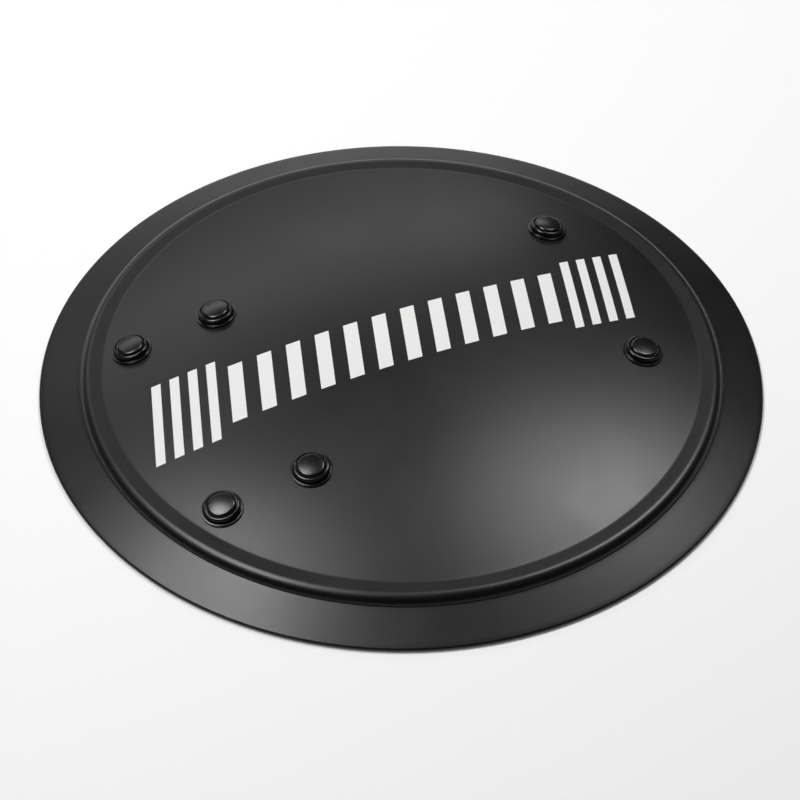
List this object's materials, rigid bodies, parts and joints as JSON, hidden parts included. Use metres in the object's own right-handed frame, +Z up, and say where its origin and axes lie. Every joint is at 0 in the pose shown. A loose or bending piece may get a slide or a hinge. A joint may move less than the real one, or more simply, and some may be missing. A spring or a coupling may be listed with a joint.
{
  "type": "round riot shield",
  "caption": "Round pressed-steel riot shield with a rolled edge, a sloping flange, a stepped ledge and a shallow studded dome, lying dome up, with webbing arm and hand straps behind it.",
  "frame": {"origin": "on the ground, at the middle of the rim that the shield rests on", "axes": "+Z up through the dome; +X from the arm straps towards the hand strap"},
  "size_m": [0.59, 0.59, 0.0451],
  "materials": {
    "black_powder_coat": "satin black powder coat on pressed steel sheet",
    "black_gloss_moulding": "glossy black moulding",
    "zinc_plated_steel": "zinc plated",
    "black_webbing": "woven webbing"
  },
  "bodies": {
    "root": {"shell": "black_powder_coat", "collar_1": "black_gloss_moulding", "collar_2": "black_gloss_moulding", "collar_3": "black_gloss_moulding", "collar_4": "black_gloss_moulding", "collar_5": "black_gloss_moulding", "collar_6": "black_gloss_moulding", "stud_1": "black_gloss_moulding", "stud_2": "black_gloss_moulding", "stud_3": "black_gloss_moulding", "stud_4": "black_gloss_moulding", "stud_5": "black_gloss_moulding", "stud_6": "black_gloss_moulding", "washer_1": "zinc_plated_steel", "washer_2": "zinc_plated_steel", "washer_3": "zinc_plated_steel", "washer_4": "zinc_plated_steel", "washer_5": "zinc_plated_steel", "washer_6": "zinc_plated_steel", "nut_1": "zinc_plated_steel", "nut_2": "zinc_plated_steel", "nut_3": "zinc_plated_steel", "nut_4": "zinc_plated_steel", "nut_5": "zinc_plated_steel", "nut_6": "zinc_plated_steel", "arm_strap_outer": "black_webbing", "arm_strap_inner": "black_webbing", "hand_strap": "black_webbing"}
  },
  "joints": []
}
